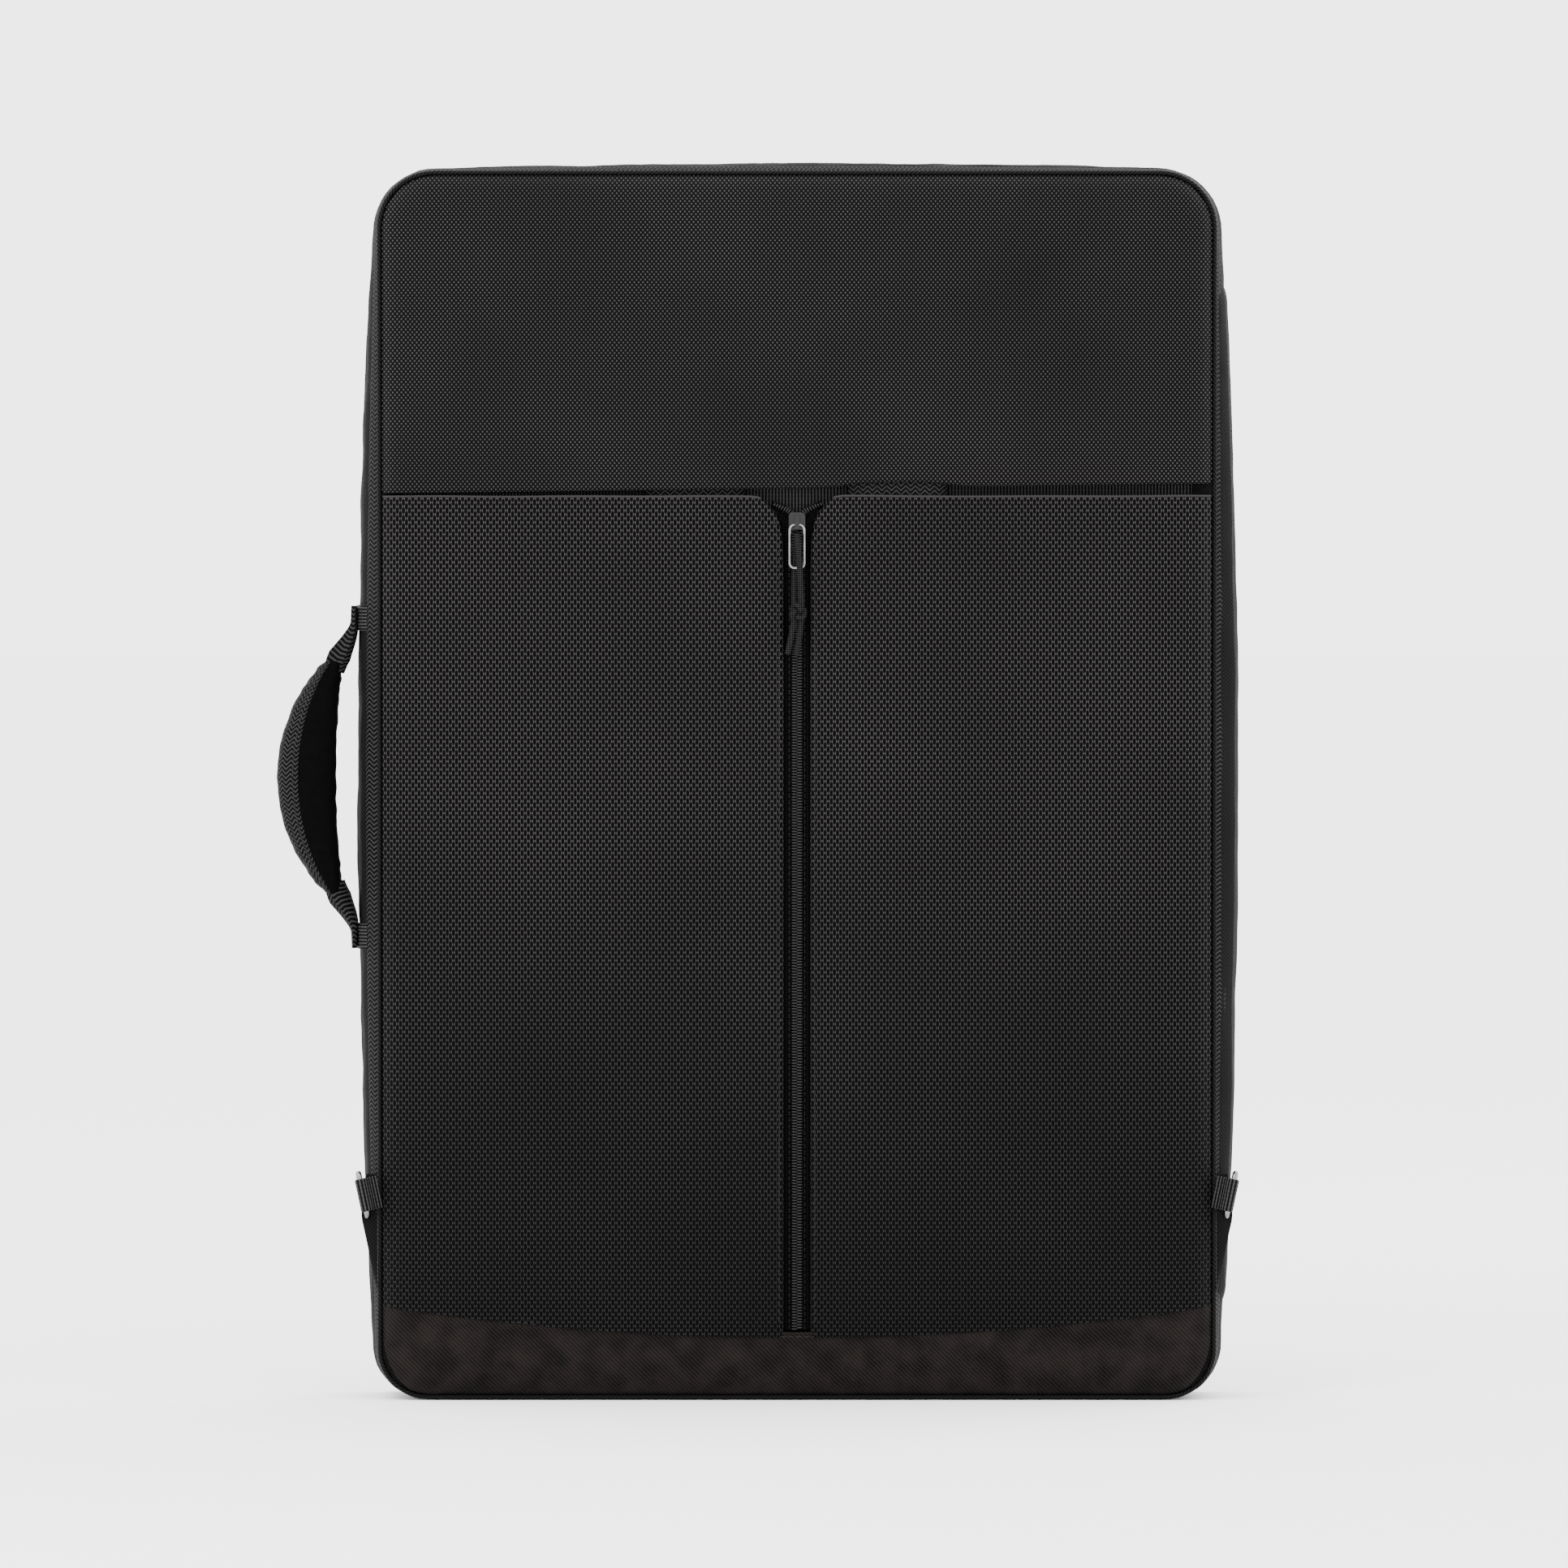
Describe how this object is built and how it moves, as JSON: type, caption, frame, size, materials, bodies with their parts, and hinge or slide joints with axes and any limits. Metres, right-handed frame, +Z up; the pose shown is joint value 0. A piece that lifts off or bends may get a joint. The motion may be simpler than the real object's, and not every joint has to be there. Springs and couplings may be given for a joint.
{
  "type": "portfolio case",
  "caption": "Soft-sided upright portfolio case for large sheets, with a zip-round lid, side carry handle and a rear mesh pocket that hides its shoulder straps.",
  "frame": {"origin": "middle of the flat base, on the surface the case stands on", "axes": "+Z up along the long side, -Y toward the back panel with the stow pocket, -X toward the carry handle, +X toward the spine"},
  "size_m": [0.506, 0.0943, 0.65],
  "materials": {
    "nylon_yoke": "woven 1680D ballistic nylon, coated inside",
    "nylon_shell": "woven 600D polyester",
    "nylon_kick": "fine woven nylon, slightly shiny",
    "air_mesh": "knitted 3D spacer mesh",
    "lining": "smooth woven lining",
    "board": "extruded polypropylene board",
    "piping": "cord piping in bias-cut nylon",
    "webbing": "ribbed polypropylene webbing",
    "zip_tape": "woven zip tape",
    "zip_coil": "nylon coil",
    "gunmetal": "black nickel on zinc",
    "cord": "braided polyester cord",
    "grip_fabric": "smooth microfibre over foam",
    "acetal": "moulded acetal"
  },
  "bodies": {
    "back_shell": {"yoke_panel": "nylon_yoke", "back_cover": "nylon_shell", "gusset_base": "nylon_shell", "gusset_top": "nylon_shell", "gusset_left": "nylon_shell", "spine_back": "nylon_shell", "ring_wing_left": "nylon_shell", "ring_wing_right": "nylon_shell", "handle_patches": "nylon_shell", "kick_panel": "nylon_kick", "mesh_flap_left": "air_mesh", "mesh_flap_right": "air_mesh", "shoulder_strap_left": "air_mesh", "shoulder_strap_right": "air_mesh", "back_lining": "lining", "back_board": "board", "back_piping": "piping", "cross_webbing": "webbing", "tail_webbing_left": "webbing", "tail_webbing_right": "webbing", "handle_webbing": "webbing", "ring_tab_left": "webbing", "ring_tab_right": "webbing", "back_zip_tape": "zip_tape", "flap_tape_left": "zip_tape", "flap_tape_right": "zip_tape", "back_zip_coil": "zip_coil", "flap_coil": "zip_coil", "ladder_lock_left": "acetal", "ladder_lock_right": "acetal", "snap_hook_left": "acetal", "snap_hook_right": "acetal"},
    "lid": {"lid_cover": "nylon_shell", "lid_board": "board", "lid_lining": "lining", "lid_piping": "piping", "lid_gusset_base": "nylon_shell", "lid_gusset_top": "nylon_shell", "lid_gusset_left": "nylon_shell", "spine_lid": "nylon_shell", "lid_zip_tape": "zip_tape", "lid_zip_coil": "zip_coil", "pocket_yoke": "nylon_yoke", "pocket_panel": "nylon_yoke", "pocket_tape": "zip_tape", "pocket_coil": "zip_coil"},
    "flap_slider": {"flap_slider": "gunmetal"},
    "flap_pull": {"flap_pull": "gunmetal", "pull_cord_left": "cord", "pull_cord_right": "cord", "pull_knot": "cord"},
    "zip_slider_left": {"zip_slider_left": "gunmetal"},
    "zip_slider_right": {"zip_slider_right": "gunmetal"},
    "zip_pull_left": {"zip_pull_left": "gunmetal"},
    "zip_pull_right": {"zip_pull_right": "gunmetal"},
    "pocket_slider": {"pocket_slider": "gunmetal"},
    "pocket_pull": {"pocket_pull": "gunmetal"},
    "handle": {"handle_grip": "grip_fabric"},
    "d_ring_left": {"d_ring_left": "gunmetal"},
    "d_ring_right": {"d_ring_right": "gunmetal"}
  },
  "joints": [
    {"name": "lid_open", "type": "hinge", "parent": "back_shell", "child": "lid", "pos_m": [0.2325, 0.012, 0.32285], "axis": [0, 0, -1], "range_deg": [0, 178]},
    {"name": "flap_zip", "type": "slide", "parent": "back_shell", "child": "flap_slider", "axis": [0, 0, -1], "range_m": [0, 0.41]},
    {"name": "flap_pull_swing", "type": "hinge", "parent": "flap_slider", "child": "flap_pull", "pos_m": [0, -0.0464, 0.45945], "axis": [-1, 0, 0], "range_deg": [0, 115]},
    {"name": "main_zip_left", "type": "slide", "parent": "back_shell", "child": "zip_slider_left", "axis": [-1, 0, 0], "range_m": [0, 0.17]},
    {"name": "main_zip_right", "type": "slide", "parent": "back_shell", "child": "zip_slider_right", "axis": [1, 0, 0], "range_m": [0, 0.17]},
    {"name": "zip_pull_left_swing", "type": "hinge", "parent": "zip_slider_left", "child": "zip_pull_left", "pos_m": [-0.00695, 0.012, 0.64765], "axis": [0, 1, 0], "range_deg": [0, 85]},
    {"name": "zip_pull_right_swing", "type": "hinge", "parent": "zip_slider_right", "child": "zip_pull_right", "pos_m": [0.00695, 0.012, 0.64765], "axis": [0, -1, 0], "range_deg": [0, 85]},
    {"name": "pocket_zip", "type": "slide", "parent": "lid", "child": "pocket_slider", "axis": [-1, 0, 0], "range_m": [0, 0.3]},
    {"name": "pocket_pull_swing", "type": "hinge", "parent": "pocket_slider", "child": "pocket_pull", "pos_m": [0.15345, 0.04145, 0.52], "axis": [0, 0, -1], "range_deg": [0, 140]},
    {"name": "handle_swing", "type": "hinge", "parent": "back_shell", "child": "handle", "pos_m": [-0.237, -0.009, 0.327], "axis": [0, 0, 1], "range_deg": [-40, 40]},
    {"name": "d_ring_left_swing", "type": "hinge", "parent": "back_shell", "child": "d_ring_left", "pos_m": [-0.2275, -0.0366, 0.108], "axis": [-0.2079, 0, 0.9781], "range_deg": [0, 140]},
    {"name": "d_ring_right_swing", "type": "hinge", "parent": "back_shell", "child": "d_ring_right", "pos_m": [0.2275, -0.0366, 0.108], "axis": [-0.2079, 0, -0.9781], "range_deg": [0, 140]}
  ]
}
